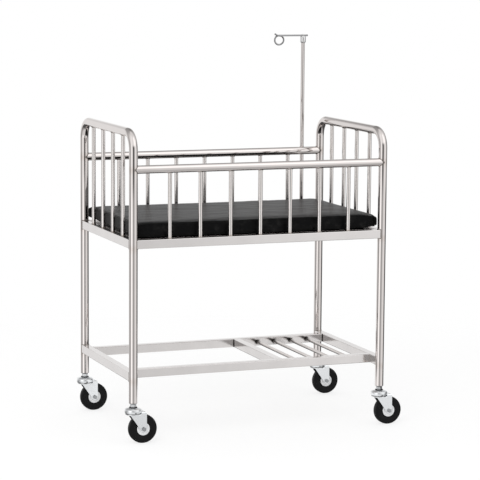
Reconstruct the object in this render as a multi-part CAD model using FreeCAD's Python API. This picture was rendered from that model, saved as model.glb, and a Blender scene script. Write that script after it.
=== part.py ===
import FreeCAD, Part
import math
import os

# Pediatric hospital cot of welded stainless tube, in millimetres.
# The model is drawn about the floor point midway between the four posts: +X towards the head
# end, +Y towards the back, +Z up. It is moved at the end so that its origin is the centre of
# the box that it fills on the floor.

os.makedirs("parts", exist_ok=True)
V = FreeCAD.Vector
UP = V(0, 0, 1)
ALONG = V(1, 0, 0)
ACROSS = V(0, 1, 0)

# ---- driving dimensions: frame ----
length = 920.0              # between the post axes, along the cot
width = 562.0               # between the post axes, across the cot
leg_end = 140.0             # height of the open tube ends above the floor
foot_hoop_top = 1060.0      # axes of the hoops' top runs
head_hoop_top = 1046.0
hoop_bend = 60.0            # bend radius at the tube axis
post_r = 15.0
post_wall = 1.2
front_rail_height = 938.0   # axes of the side rails
back_rail_height = 930.0
rail_r = 14.0
bar_r = 7.0
bar_wall = 1.0
side_bars = 7
side_bar_pitch = 110.0
end_bars = 4
end_bar_pitch = 112.0

# ---- deck and shelf ----
deck_top = 700.0
beam_height = 30.0
beam_wall = 1.2
beam_corner = 2.0
deck_beam_width = 25.0
shelf_top = 245.0
shelf_beam_width = 28.0
shelf_side_inset = 66.0     # shelf side beams stand this far inside the post axes
cross_beam_x = 104.0
rod_r = 6.0
rod_count = 4
sheet = 1.2                 # thickness of the deck sheet
sheet_flange = 18.0         # depth of its folded edge
sheet_gap = 0.3             # fitting gap to the beams
bearer_x = 150.0            # the two bearers under the sheet stand at plus and minus this
bearer_height = 22.0

# ---- mattress ----
mattress_length = 888.0     # lifts out between the hoops
mattress_width = 530.0
mattress_height = 52.0
mattress_corner = 10.0
mattress_edge = 7.0
rest_gap = 0.3              # between the loose parts and what they lie on

# ---- drip pole ----
pole_x = 396.0
pole_r = 7.0
pole_wall = 1.0
pole_top = 1352.0
pole_clearance = 0.3        # round the pole in its guide and foot cup
cup_r = 9.5
cup_floor = 4.0
cup_height = 28.0
guide_height = 26.0
cap_r = 10.5
cap_low = 1328.0
cap_high = 1362.5
cap_taper = 6.0
cap_crown = 3.0
turn_fit = 0.06             # radial clearance of every running fit
hook_height = 1358.0
hook_wire_r = 3.0
hook_ring_r = 17.0          # to the axis of the wire
hook_ring_x = 299.5
hook_ring_step = 7.0        # how far the ring's end stands in front of its start
hook_end_x = 412.0
hook_ball_r = 3.6
hook_tip = (17.5, 5.8)      # from the top of the ring out and up to the tip's ball

# ---- casters ----
wheel_r = 50.0
wheel_width = 25.0
trail = 33.0                # from the swivel axis back to the axle
hub_r = 22.5
hub_crown = 2.2             # how far the hub's face stands out of the tyre at its boss
hub_boss_r = 9.0
hub_half = 15.0             # half the length of the hub's bearing boss
sleeve_r = 6.0
axle_r = 4.0
axle_hex = 13.0
axle_head = 5.3
axle_nut = 6.5
leg_inner = 15.5            # from the wheel's middle plane to the fork leg
fork_sheet = 2.5
fork_crown = 103.5          # top of the crown plate under the bearing cup
fork_horn = 110.5           # top of the raised horn behind the cup
fork_front = -17.0          # where the leg's front edge meets the crown
fork_back = 43.5
fork_end_r = 10.5           # round end about the axle
horn_corner = 6.0
race_r = 29.0
race_foot = 1.0             # the cup's foot is drawn in by this
race_round = 2.5            # and its shoulder is rounded off by this
race_shoulder = 120.0
race_top = 124.5
race_neck_r = 14.0
race_wall = 2.5
stem_r = 6.0
stem_top = 166.0
stem_head_r = 9.0
stem_head = 3.0
seal_r = 14.0
seal_height = 1.8
nut_hex = 19.0
nut_height = 10.4
ball_ring_r = 20.0          # to the centres of the balls
ball_r = 3.5
plug_length = 30.0
plug_nose = 2.8             # the plug's cone below the end of the leg
plug_nose_r = (11.5, 14.4)  # its radius at the nut and at the leg

half_l = length / 2
half_w = width / 2
deck_z = deck_top - beam_height
shelf_z = shelf_top - beam_height
shelf_side_y = half_w - shelf_side_inset
leg_outer = leg_inner + fork_sheet
corners = {
    "front_foot": V(-half_l, -half_w, 0),
    "back_foot": V(-half_l, half_w, 0),
    "front_head": V(half_l, -half_w, 0),
    "back_head": V(half_l, half_w, 0),
}
pole_y = half_w + deck_beam_width / 2 + cup_r

# The box that the cot fills on the floor runs from the foot end's bearing cups to the head
# end's wheels, and from the front cups to the cap on the pole.
box_x = (-half_l - race_r, half_l + trail + wheel_r)
box_y = (-half_w - race_r, pole_y + cap_r)
to_origin = V(-(box_x[0] + box_x[1]) / 2, -(box_y[0] + box_y[1]) / 2, 0)


def save(name, solids):
    """Move the finished solids to the cot's origin and write them as one node."""
    shape = solids[0] if len(solids) == 1 else Part.makeCompound(solids)
    shape = shape.copy()
    shape.translate(to_origin)
    shape.exportStep("parts/" + name + ".step")


def box(x, y, z):
    """A block between two limits along each axis."""
    return Part.makeBox(x[1] - x[0], y[1] - y[0], z[1] - z[0], V(x[0], y[0], z[0]))


def tube(start, direction, distance, radius, wall):
    outer = Part.makeCylinder(radius, distance, start, direction)
    return outer.cut(Part.makeCylinder(radius - wall, distance, start, direction))


def ring(radius, bore, low, high, centre):
    return tube(V(centre.x, centre.y, low), UP, high - low, radius, radius - bore)


def hexagon(across_flats, low, height, centre, axis):
    """A hexagonal prism whose first face lies at the distance low along the axis."""
    flat = Part.makePolygon([
        V(across_flats / math.sqrt(3) * math.cos(math.radians(60 * i + 30)),
          across_flats / math.sqrt(3) * math.sin(math.radians(60 * i + 30)), 0)
        for i in range(7)])
    prism = Part.Face(flat).extrude(V(0, 0, height))
    prism.Placement = FreeCAD.Placement(centre + axis * low, FreeCAD.Rotation(UP, axis))
    return prism


def turned(profile, centre, axis=UP):
    """Revolve a closed outline of (radius, height) points about the axis through centre."""
    points = [V(r, 0, h) for r, h in profile]
    face = Part.Face(Part.makePolygon(points + [points[0]]))
    solid = face.revolve(V(0, 0, 0), UP, 360)
    solid.Placement = FreeCAD.Placement(centre, FreeCAD.Rotation(UP, axis))
    return solid


def post_cutters(radius=post_r):
    """The four posts as plain cylinders, for coping what is welded to them."""
    return [Part.makeCylinder(radius, front_rail_height + 2 * rail_r, at, UP) for at in corners.values()]


def bent_bar(at, heading, steps, radius):
    """A round bar bent step by step, and the point that it ends at. A step is a straight length,
    or a bend given by its radius, its angle and the side that it turns to."""
    pieces = []
    for step in steps:
        if len(step) == 1:
            pieces.append(Part.makeCylinder(radius, step[0], at, heading))
            at = at + heading * step[0]
            continue
        bend_r, degrees, side = step
        centre = at + side * bend_r
        axis = heading.cross(side)
        section = Part.Face(Part.Wire(Part.makeCircle(radius, at, heading)))
        pieces.append(section.revolve(centre, axis, degrees))
        turn = FreeCAD.Rotation(axis, degrees)
        at = centre + turn.multVec(at - centre)
        heading = turn.multVec(heading)
    return pieces[0].fuse(pieces[1:]), at


# ---- frame ----

def end_hoop(x, top):
    """Up a leg, over both bends and down the other leg, in one tube."""
    leg = top - hoop_bend - leg_end
    steps = [(leg,), (hoop_bend, 90, ACROSS), (width - 2 * hoop_bend,), (hoop_bend, 90, -UP), (leg,)]
    outer, inner = [bent_bar(V(x, -half_w, leg_end), UP, steps, radius)[0]
                    for radius in (post_r, post_r - post_wall)]
    return outer.cut(inner)


def upright_bars(places, under, under_r, under_axis):
    """Bars that stand on the deck frame and meet the round tube above them."""
    bars = []
    for at in places:
        bar = tube(V(at.x, at.y, deck_top), UP, under - deck_top, bar_r, bar_wall)
        over = Part.makeCylinder(under_r, 4 * bar_r, V(at.x, at.y, under) - under_axis * 2 * bar_r, under_axis)
        bars.append(bar.cut(over))
    return bars


def side_bar_places(y):
    first = -side_bar_pitch * (side_bars - 1) / 2
    return [V(first + side_bar_pitch * i, y, 0) for i in range(side_bars)]


def end_bar_places(x):
    first = -end_bar_pitch * (end_bars - 1) / 2
    return [V(x, first + end_bar_pitch * i, 0) for i in range(end_bars)]


def side_rail(y, height):
    rail = tube(V(-half_l, y, height), ALONG, length, rail_r, post_wall)
    return rail.cut(post_cutters())


def square_tube(low, high, across, z):
    """A hollow beam with rounded corners from one point to the other, its underside at z."""
    run = high - low
    side = V(-run.y, run.x, 0).normalize()
    reach = run.Length

    def bar(half, bottom, top, corner):
        block = Part.makeBox(reach, 2 * half, top - bottom, V(0, -half, bottom))
        long_edges = [e for e in block.Edges if abs(e.Length - reach) < 0.001]
        return block.makeFillet(corner, long_edges)

    outer = bar(across / 2, 0, beam_height, beam_corner)
    inner = bar(across / 2 - beam_wall, beam_wall, beam_height - beam_wall, beam_corner - beam_wall)
    beam = outer.cut(inner)
    beam.Placement = FreeCAD.Placement(V(low.x, low.y, z), FreeCAD.Rotation(ACROSS, side))
    return beam


def deck_sheet():
    """A pan with its edges folded down, set between the deck beams with its top flush."""
    x = half_l - deck_beam_width / 2 - sheet_gap
    y = half_w - deck_beam_width / 2 - sheet_gap
    pan = box((-x, x), (-y, y), (deck_top - sheet_flange, deck_top))
    upright = [e for e in pan.Edges if abs(e.Length - sheet_flange) < 0.001]
    pan = pan.makeFillet(3 * sheet, upright)
    hollow = box((sheet - x, x - sheet), (sheet - y, y - sheet), (deck_top - sheet_flange, deck_top - sheet))
    upright = [e for e in hollow.Edges if abs(e.Length - sheet_flange + sheet) < 0.001]
    hollow = hollow.makeFillet(2 * sheet, upright)
    return pan.cut(hollow)


def deck_bearer(x):
    """A channel section that carries the sheet from the front beam to the back beam."""
    reach = half_w - deck_beam_width / 2
    top = deck_top - sheet
    half = deck_beam_width / 2
    outer = box((x - half, x + half), (-reach, reach), (top - bearer_height, top))
    inner = box((x - half + sheet, x + half - sheet), (-reach, reach), (top - bearer_height, top - sheet))
    folded_edge = sheet_flange - sheet
    slots = [box((x - half, x + half), ends, (top - folded_edge, top)) for ends in (
        (-reach, -reach + sheet_gap + sheet), (reach - sheet_gap - sheet, reach))]
    return outer.cut([inner] + slots)


def frame_parts():
    for end, x, top in (("foot", -half_l, foot_hoop_top), ("head", half_l, head_hoop_top)):
        save(end + "_end_hoop", [end_hoop(x, top)])
        save(end + "_end_bars", upright_bars(end_bar_places(x), top, post_r, ACROSS))
    for side, y, height in (("front", -half_w, front_rail_height), ("back", half_w, back_rail_height)):
        save(side + "_side_rail", [side_rail(y, height)])
        save(side + "_rail_bars", upright_bars(side_bar_places(y), height, rail_r, ALONG))


def beam_parts():
    """Deck and shelf beams, coped to the posts; the deck's end beams butt on its side beams."""
    posts = post_cutters()
    butt = half_w - deck_beam_width / 2
    for name, y in (("front", -half_w), ("back", half_w)):
        beam = square_tube(V(-half_l, y, 0), V(half_l, y, 0), deck_beam_width, deck_z)
        save("deck_" + name + "_beam", [beam.cut(posts)])
    for name, x in (("foot", -half_l), ("head", half_l)):
        beam = square_tube(V(x, -butt, 0), V(x, butt, 0), deck_beam_width, deck_z)
        save("deck_" + name + "_beam", [beam.cut(posts)])
        beam = square_tube(V(x, -half_w, 0), V(x, half_w, 0), shelf_beam_width, shelf_z)
        save("shelf_" + name + "_beam", [beam.cut(posts)])
    reach = half_l - shelf_beam_width / 2
    for name, y in (("front", -shelf_side_y), ("back", shelf_side_y)):
        save("shelf_" + name + "_beam", [square_tube(V(-reach, y, 0), V(reach, y, 0), shelf_beam_width, shelf_z)])
    inner = shelf_side_y - shelf_beam_width / 2
    save("shelf_cross_beam", [square_tube(V(cross_beam_x, -inner, 0), V(cross_beam_x, inner, 0),
                                          shelf_beam_width, shelf_z)])
    first = cross_beam_x + shelf_beam_width / 2
    pitch = (reach - first) / (rod_count + 1)
    rod_z = shelf_top - beam_height / 2
    save("shelf_rods", [Part.makeCylinder(rod_r, 2 * inner, V(first + pitch * (i + 1), -inner, rod_z), ACROSS)
                        for i in range(rod_count)])
    save("deck_sheet", [deck_sheet()])
    save("deck_bearers", [deck_bearer(-bearer_x), deck_bearer(bearer_x)])


def mattress():
    x = mattress_length / 2
    y = mattress_width / 2
    low = deck_top + rest_gap
    pad = box((-x, x), (-y, y), (low, low + mattress_height))
    pad = pad.makeFillet(mattress_corner, [e for e in pad.Edges if abs(e.Length - mattress_height) < 0.001])
    rims = [e for f in pad.Faces if abs(f.normalAt(0, 0).z) > 0.9 for e in f.Edges]
    return pad.makeChamfer(mattress_edge, rims)


# ---- drip pole ----

def pole_foot_cup():
    """A cup welded to the back of the deck frame, which the pole's foot drops into."""
    low = deck_top - cup_height
    cup = Part.makeCylinder(cup_r, cup_height, V(pole_x, pole_y, low), UP)
    bore = Part.makeCylinder(pole_r + pole_clearance, cup_height, V(pole_x, pole_y, low + cup_floor), UP)
    return cup.cut(bore)


def pole_guide():
    """A short sleeve, coped to the back rail, which the pole slides through."""
    at = V(pole_x, pole_y, 0)
    sleeve = ring(cup_r, pole_r + pole_clearance, back_rail_height - guide_height / 2,
                  back_rail_height + guide_height / 2, at)
    rail = Part.makeCylinder(rail_r, 4 * cup_r, V(pole_x - 2 * cup_r, half_w, back_rail_height), ALONG)
    return sleeve.cut(rail)


def pole_tube():
    foot = deck_top - cup_height + cup_floor + rest_gap
    return tube(V(pole_x, pole_y, foot), UP, pole_top - foot, pole_r, pole_wall)


def hook_cap():
    """A turned cap that sits over the pole's top and turns on it, cross-drilled for the hook."""
    bore = pole_r + turn_fit
    roof = pole_top + rest_gap
    cap = turned([(bore, cap_low), (bore + 1.0, cap_low), (cap_r, cap_low + cap_taper),
                  (cap_r, cap_high - cap_crown), (cap_r - cap_crown, cap_high), (0, cap_high),
                  (0, roof), (bore, roof)], V(pole_x, pole_y, 0))
    cross = Part.makeCylinder(hook_wire_r, 4 * cap_r, V(pole_x - 2 * cap_r, pole_y, hook_height), ALONG)
    return cap.cut(cross)


def hook_wire():
    """The hook: a straight rod with a full ring turned at one end and a ball on each end. The
    ring's second half leans forwards, so that its end passes in front of the rod."""
    lean = math.asin(hook_ring_step / (2 * hook_ring_r))
    rise = math.atan2(hook_tip[1], hook_tip[0])
    tail_r = math.hypot(*hook_tip) / (2 * math.sin(rise))
    start = V(hook_end_x, pole_y, hook_height)
    steps = [
        (hook_end_x - hook_ring_x,),
        (hook_ring_r, 180, -UP),
        (hook_ring_r, 180, V(0, -math.sin(lean), math.cos(lean))),
        (tail_r, 2 * math.degrees(rise), UP),
    ]
    wire, tip = bent_bar(start, -ALONG, steps, hook_wire_r)
    return wire.fuse([Part.makeSphere(hook_ball_r, start), Part.makeSphere(hook_ball_r, tip)])


def pole_parts():
    save("pole_foot_cup", [pole_foot_cup()])
    save("pole_guide", [pole_guide()])
    save("drip_pole", [pole_tube()])
    save("hook_cap", [hook_cap()])
    save("drip_hook", [hook_wire()])


# ---- casters ----

def fork_outline():
    """Side view of the fork, round its open front edge, the axle end and the horn's corner."""
    axle = V(trail, 0, wheel_r)
    front = V(fork_front, 0, fork_crown)
    # The front edge touches the round end: turn from the line of centres by the tangent angle.
    to_front = front - axle
    turn = math.acos(fork_end_r / to_front.Length)
    heading = math.atan2(to_front.z, to_front.x) + turn
    touch = axle + V(math.cos(heading), 0, math.sin(heading)) * fork_end_r
    low = axle - V(0, 0, fork_end_r)
    side = axle + V(fork_end_r, 0, 0)
    corner = V(fork_back, 0, fork_horn)
    diagonal = horn_corner * (1 - math.sqrt(0.5))
    edges = [
        Part.LineSegment(front, touch),
        Part.Arc(touch, low, side),
        Part.LineSegment(side, corner - V(0, 0, horn_corner)),
        Part.Arc(corner - V(0, 0, horn_corner), corner - V(diagonal, 0, diagonal),
                 corner - V(horn_corner, 0, 0)),
        Part.LineSegment(corner - V(horn_corner, 0, 0), V(fork_front, 0, fork_horn)),
        Part.LineSegment(V(fork_front, 0, fork_horn), front),
    ]
    return Part.Face(Part.Wire([edge.toShape() for edge in edges]))


def fork_channel(x, top):
    """An inverted channel of bent sheet whose top face lies at the given height."""
    def bar(half, height, corner):
        block = box(x, (-half, half), (0, height))
        edges = [e for e in block.Edges if abs(e.Length - (x[1] - x[0])) < 0.001
                 and e.CenterOfMass.z > height - 0.001]
        return block.makeFillet(corner, edges)

    bend = 2 * fork_sheet
    return bar(leg_outer, top, bend).cut(bar(leg_inner, top - fork_sheet, bend - fork_sheet))


def fork():
    """A pressed fork: two tapering legs, a crown plate under the bearing cup and a raised horn
    behind the cup, joined by a curved riser."""
    cup = Part.makeCylinder(race_r + rest_gap, fork_horn, V(0, 0, fork_crown), UP)
    crown = fork_channel((fork_front, race_r), fork_crown)
    horn = fork_channel((race_r - 2 * fork_sheet, fork_back), fork_horn)
    horn = horn.cut([cup, box((0, race_r), (-leg_inner, leg_inner), (0, fork_crown - fork_sheet))])
    riser = ring(race_r + rest_gap + fork_sheet, race_r + rest_gap, fork_crown - fork_sheet, fork_horn,
                 V(0, 0, 0))
    riser = riser.common(box((0, fork_back), (1 - leg_outer, leg_outer - 1), (0, fork_horn)))
    shell = crown.fuse([horn, riser])
    side = fork_outline()
    side.translate(V(0, -leg_outer, 0))
    shell = shell.common(side.extrude(V(0, 2 * leg_outer, 0)))
    plate = Part.makeCylinder(race_r - fork_sheet, fork_sheet, V(0, 0, fork_crown - fork_sheet), UP)
    shell = shell.fuse(plate)
    holes = [
        Part.makeCylinder(stem_r + turn_fit, fork_horn, V(0, 0, fork_crown - 2 * fork_sheet), UP),
        Part.makeCylinder(axle_r, 2 * leg_outer, V(trail, -leg_outer, wheel_r), ACROSS),
    ]
    return shell.cut(holes).removeSplitter()


def bearing_cup():
    """The pressed cup over the swivel bearing, fixed in the fork's crown."""
    bore = stem_r + turn_fit
    low_shoulder = race_shoulder - race_round
    roof = low_shoulder - race_wall
    return turned([
        (race_r - race_foot, fork_crown), (race_r, fork_crown + 2 * race_foot), (race_r, low_shoulder),
        (race_r - race_round, race_shoulder), (race_neck_r, race_top), (bore, race_top),
        (bore, roof), (race_r - race_wall, roof), (race_r - race_wall, fork_crown)], V(0, 0, 0))


def wheel_hub():
    """Pale hub core with a slightly crowned face on each side and a bearing boss."""
    bore = sleeve_r + turn_fit
    face = wheel_width / 2 + hub_crown
    rim = face - hub_crown / 2
    return turned([
        (bore, -hub_half), (hub_boss_r, -hub_half), (hub_boss_r, -face), (hub_r, -rim), (hub_r, rim),
        (hub_boss_r, face), (hub_boss_r, hub_half), (bore, hub_half)], V(trail, 0, wheel_r), ACROSS)


def tyre():
    """Solid rubber tyre with chamfered shoulders, bonded to the hub core."""
    half = wheel_width / 2
    return turned([
        (hub_r, -half), (wheel_r - 3.5, -half), (wheel_r, 4.0 - half), (wheel_r, half - 4.0),
        (wheel_r - 3.5, half), (hub_r, half)], V(trail, 0, wheel_r), ACROSS)


def axle_sleeve():
    return tube(V(trail, -leg_inner, wheel_r), ACROSS, 2 * leg_inner, sleeve_r, sleeve_r - axle_r)


def axle_bolt():
    """The axle bolt with its hexagon head in front and its nut behind."""
    at = V(trail, 0, wheel_r)
    end = leg_outer + axle_nut + 2.0
    shank = Part.makeCylinder(axle_r, leg_outer + end, V(trail, -leg_outer, wheel_r), ACROSS)
    head = hexagon(axle_hex, -leg_outer - axle_head, axle_head, at, ACROSS)
    nut = hexagon(axle_hex, leg_outer, axle_nut, at, ACROSS)
    nut = nut.cut(Part.makeCylinder(axle_r, 3 * axle_nut, V(trail, leg_outer - axle_nut, wheel_r), ACROSS))
    return [shank.fuse(head), nut]


def caster_stem(at):
    """The fixed stem: a retaining head under the crown and a thread up into the leg's plug."""
    head_low = fork_crown - fork_sheet - rest_gap - stem_head
    return turned([
        (0, head_low), (stem_head_r, head_low), (stem_head_r, head_low + stem_head),
        (stem_r, head_low + stem_head), (stem_r, stem_top), (0, stem_top)], at)


def leg_plug(at):
    """The turned plug in a leg's end, with a coned nose and the threaded hole for the stem."""
    plug_r = post_r - post_wall
    low_r, high_r = plug_nose_r
    return turned([
        (stem_r, leg_end - plug_nose), (low_r, leg_end - plug_nose), (high_r, leg_end), (plug_r, leg_end),
        (plug_r, leg_end + plug_length), (stem_r, leg_end + plug_length)], at)


def lock_nut(at):
    low = race_top + rest_gap + seal_height
    nut = hexagon(nut_hex, low, nut_height, at, UP)
    return nut.cut(Part.makeCylinder(stem_r, 2 * nut_height, V(at.x, at.y, low - 1), UP))


def dust_seal(at):
    low = race_top + rest_gap
    return ring(seal_r, stem_r, low, low + seal_height, at)


def ball_ring(at):
    """The caged balls that the cup runs on, as one plain ring of their size."""
    low = fork_crown + rest_gap
    return ring(ball_ring_r + ball_r, ball_ring_r - ball_r, low, low + 2 * ball_r, at)


def caster_parts():
    places = list(corners.values())
    save("leg_plugs", [leg_plug(at) for at in places])
    save("caster_stems", [caster_stem(at) for at in places])
    save("stem_lock_nuts", [lock_nut(at) for at in places])
    save("dust_seals", [dust_seal(at) for at in places])
    save("swivel_ball_rings", [ball_ring(at) for at in places])
    pieces = {"fork": [fork()], "bearing_cup": [bearing_cup()], "axle_bolt": axle_bolt(),
              "axle_sleeve": [axle_sleeve()], "wheel_hub": [wheel_hub()], "tyre": [tyre()]}
    for corner, at in corners.items():
        for piece, solids in pieces.items():
            placed = [solid.copy() for solid in solids]
            for solid in placed:
                solid.translate(at)
            save(corner + "_" + piece, placed)


frame_parts()
beam_parts()
save("mattress", [mattress()])
pole_parts()
caster_parts()
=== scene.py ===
import math

import bmesh
import bpy
from bpy.props import FloatProperty, FloatVectorProperty, PointerProperty
from mathutils import Matrix, Vector, noise
from mathutils.bvhtree import BVHTree


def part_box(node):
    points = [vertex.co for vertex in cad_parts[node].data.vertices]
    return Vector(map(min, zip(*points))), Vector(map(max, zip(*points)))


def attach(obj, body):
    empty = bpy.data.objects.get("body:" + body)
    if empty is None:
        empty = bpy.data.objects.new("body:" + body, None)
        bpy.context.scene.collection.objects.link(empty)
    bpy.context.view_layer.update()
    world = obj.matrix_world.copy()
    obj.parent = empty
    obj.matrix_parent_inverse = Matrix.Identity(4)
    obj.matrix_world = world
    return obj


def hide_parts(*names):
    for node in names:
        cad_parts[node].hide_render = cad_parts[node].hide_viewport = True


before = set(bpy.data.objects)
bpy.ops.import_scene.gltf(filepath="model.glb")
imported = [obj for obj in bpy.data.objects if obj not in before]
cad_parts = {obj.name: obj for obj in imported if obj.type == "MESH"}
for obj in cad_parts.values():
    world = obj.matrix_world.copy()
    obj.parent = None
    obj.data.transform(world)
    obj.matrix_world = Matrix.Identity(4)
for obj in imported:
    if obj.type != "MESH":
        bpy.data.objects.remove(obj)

bl_info = {
    "name": "Hospital Cot",
    "version": (1, 0, 0),
    "blender": (4, 5, 0),
    "location": "3D View > Sidebar > Cot",
    "description": "Dresses a welded steel cot: welds, padded mattress, casters, finishes and a studio",
    "category": "Object",
}

CORNERS = ("front_foot", "back_foot", "front_head", "back_head")
MM = 0.001


# ---- places taken from the frame ----

def middle(name):
    """The centre of a node's box."""
    low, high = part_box(name)
    return (low + high) / 2


def span(name):
    """The size of a node's box."""
    low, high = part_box(name)
    return high - low


FOOT_HOOP, HEAD_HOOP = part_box("foot_end_hoop"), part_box("head_end_hoop")
POST_R = span("foot_end_hoop").x / 2
FOOT_X = middle("foot_end_hoop").x
HEAD_X = middle("head_end_hoop").x
FRONT_Y = FOOT_HOOP[0].y + POST_R
BACK_Y = FOOT_HOOP[1].y - POST_R
RAIL_R = span("front_side_rail").z / 2
# each end: its place along the cot, the way inwards and the height of the hoop's axis
ENDS = ((FOOT_X, 1, FOOT_HOOP[1].z - POST_R), (HEAD_X, -1, HEAD_HOOP[1].z - POST_R))
# each side: its place across the cot, the way inwards and the height of the rail's axis
SIDES = ((FRONT_Y, 1, middle("front_side_rail").z), (BACK_Y, -1, middle("back_side_rail").z))
DECK_LOW, DECK_TOP = (corner.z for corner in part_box("deck_front_beam"))
DECK_HALF = span("deck_front_beam").y / 2
SHELF_LOW, SHELF_TOP = (corner.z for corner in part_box("shelf_front_beam"))
SHELF_HALF = span("shelf_front_beam").y / 2
BAR_R = span("front_rail_bars").y / 2
CORNER_R = 10 * MM
# a near-black tint: soot round burnt welds, a dark ring at the legs' ends, and painted shade at the caster
# cups' feet and round the hook's cap
SOOT_AND_SHADE = (0.05, 0.045, 0.04, 1)
STRAW = (0.62, 0.50, 0.40, 1)
# mattress corners: side in x and y, share of the lift and of the reach, sag of the top in mm, width
CURLS = ((1, -1, 0.8, 1.2, 13.0, 0.07), (-1, 1, 1.1, 1.25, 4.0, 0.13), (1, 1, 0.4, 0.3, 4.0, 0.06),
         (-1, -1, 0.4, 0.3, 4.0, 0.06))


def bar_places(name, axis, radius, count):
    """Where the evenly spaced bars of a node stand along an axis, x being 0."""
    low, high = (corner[axis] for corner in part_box(name))
    low, high = low + radius, high - radius
    return [low + (high - low) * i / (count - 1) for i in range(count)]


ROD_R, ROD_Z = span("shelf_rods").z / 2, middle("shelf_rods").z
END_BAR_YS = bar_places("foot_end_bars", 1, BAR_R, 4)
SIDE_BAR_XS = bar_places("front_rail_bars", 0, BAR_R, 7)
ROD_XS = bar_places("shelf_rods", 0, ROD_R, 4)
SHELF_INNER = (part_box("shelf_front_beam")[1].y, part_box("shelf_back_beam")[0].y)


# The room's brightness by bearing from the camera, in degrees to the right, in rings from the floor
# up: floor, wall at the cot's height, wall above it, upper wall, ceiling.
ROOM_RINGS = (
    ((-180, 0.05), (-110, 0.10), (-60, 0.80), (20, 0.80), (45, 0.55), (70, 0.55), (110, 0.10), (180, 0.05)),
    ((-180, 0.92), (-128, 0.90), (-106, 0.42), (-76, 0.33), (-54, 1.05), (-42, 1.42), (-28, 1.30), (-8, 0.42),
     (10, 0.40), (44, 0.90), (66, 0.94), (84, 0.84), (98, 0.10), (146, 0.06), (160, 0.70), (180, 0.92)),
    ((-180, 0.92), (-128, 0.92), (-106, 0.50), (-76, 0.45), (-54, 1.00), (-42, 1.25), (-26, 1.10), (-8, 0.12),
     (12, 0.08), (26, 0.50), (44, 1.00), (66, 1.05), (88, 0.75), (100, 0.30), (146, 0.30), (160, 0.85),
     (180, 0.92)),
    ((-180, 0.25), (-110, 0.45), (-45, 1.15), (0, 0.90), (50, 1.50), (110, 0.80), (180, 0.25)),
    ((-180, 0.88), (180, 0.88)),
)
# where each ring gives way to the next, by the sine of the elevation
ROOM_STEPS = ((-0.27, -0.17), (0.004, 0.030), (0.36, 0.60), (0.90, 0.99))


# ---- settings that a user would change ----

class CotSteelSettings(bpy.types.PropertyGroup):
    color: FloatVectorProperty(name="Steel colour", description="Reflection colour of the stainless steel",
                               default=(0.755, 0.710, 0.692), min=0, max=1, subtype="COLOR")
    tube_roughness: FloatProperty(name="Tube roughness", description="Roughness of the polished tubes",
                                  default=0.04, min=0, max=1, subtype="FACTOR")
    beam_roughness: FloatProperty(name="Beam roughness", description="Roughness of the satin box sections",
                                  default=0.14, min=0, max=1, subtype="FACTOR")
    bar_color: FloatVectorProperty(name="Bar colour", description="Reflection colour of the thin bars",
                                   default=(0.84, 0.80, 0.78), min=0, max=1, subtype="COLOR")
    bar_roughness: FloatProperty(name="Bar roughness", description="Roughness of the thin bars",
                                 default=0.18, min=0, max=1, subtype="FACTOR")
    beam_color: FloatVectorProperty(name="Beam colour", description="Reflection colour of the box sections",
                                    default=(0.755, 0.728, 0.718), min=0, max=1, subtype="COLOR")
    weld_size: FloatProperty(name="Weld size", description="Leg length of the fillet welds",
                             default=2.2 * MM, min=0.5 * MM, max=5 * MM, subtype="DISTANCE", unit="LENGTH")
    weld_color: FloatVectorProperty(name="Weld colour", description="Colour of the weld metal",
                                    default=(0.52, 0.49, 0.46), min=0, max=1, subtype="COLOR")


class CotMattressSettings(bpy.types.PropertyGroup):
    color: FloatVectorProperty(name="Cover colour", description="Colour of the mattress cover",
                               default=(0.0028, 0.0028, 0.003), min=0, max=1, subtype="COLOR")
    roughness: FloatProperty(name="Cover roughness", description="Roughness of the mattress cover",
                             default=0.36, min=0, max=1, subtype="FACTOR")
    pressure: FloatProperty(name="Filling pressure", description="How hard the filling pushes the cover out",
                            default=4.0, min=0, max=20)
    swell: FloatProperty(name="Swell", description="The furthest that the filling may push the cover",
                         default=4.0 * MM, min=0, max=20 * MM, subtype="DISTANCE", unit="LENGTH")
    corner_lift: FloatProperty(name="Corner lift", description="How far the corners curl off the deck",
                               default=12.0 * MM, min=0, max=20 * MM, subtype="DISTANCE", unit="LENGTH")
    corner_reach: FloatProperty(name="Corner reach",
                                description="How far the corners are drawn out lengthways",
                                default=18.0 * MM, min=0, max=22 * MM, subtype="DISTANCE", unit="LENGTH")


class CotCasterSettings(bpy.types.PropertyGroup):
    zinc_color: FloatVectorProperty(name="Zinc colour", description="Colour of the plated forks and cups",
                                    default=(0.92, 0.94, 0.955), min=0, max=1, subtype="COLOR")
    hub_color: FloatVectorProperty(name="Hub colour", description="Colour of the wheel hubs",
                                   default=(0.90, 0.91, 0.92), min=0, max=1, subtype="COLOR")
    tyre_color: FloatVectorProperty(name="Tyre colour", description="Colour of the rubber tyres",
                                    default=(0.006, 0.006, 0.0065), min=0, max=1, subtype="COLOR")


class CotStageSettings(bpy.types.PropertyGroup):
    azimuth: FloatProperty(name="Camera azimuth", description="Camera direction; 0 looks along +Y",
                           default=math.radians(-21.112), subtype="ANGLE", unit="ROTATION")
    elevation: FloatProperty(name="Camera elevation", description="Camera height above the horizon",
                             default=math.radians(7.729), subtype="ANGLE", unit="ROTATION")
    roll: FloatProperty(name="Camera roll", description="Turn of the picture about the line of sight",
                        default=math.radians(0.446), subtype="ANGLE", unit="ROTATION")
    distance: FloatProperty(name="Camera distance", description="From the camera to the point it looks at",
                            default=7.6944, min=1, subtype="DISTANCE", unit="LENGTH")
    lens: FloatProperty(name="Focal length", description="Focal length on a 36 mm sensor, in millimetres",
                        default=161.356, min=10)
    ambient: FloatProperty(name="Ambient light", description="Strength of the even light from all sides",
                           default=0.78, min=0)
    key_power: FloatProperty(name="Key light", description="Power of the large soft light",
                             default=42.0, min=0, unit="POWER")
    floor_color: FloatVectorProperty(name="Floor colour", description="Colour of the studio floor",
                                     default=(0.96, 0.96, 0.96), min=0, max=1, subtype="COLOR")


# ---- shader helpers ----

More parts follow.
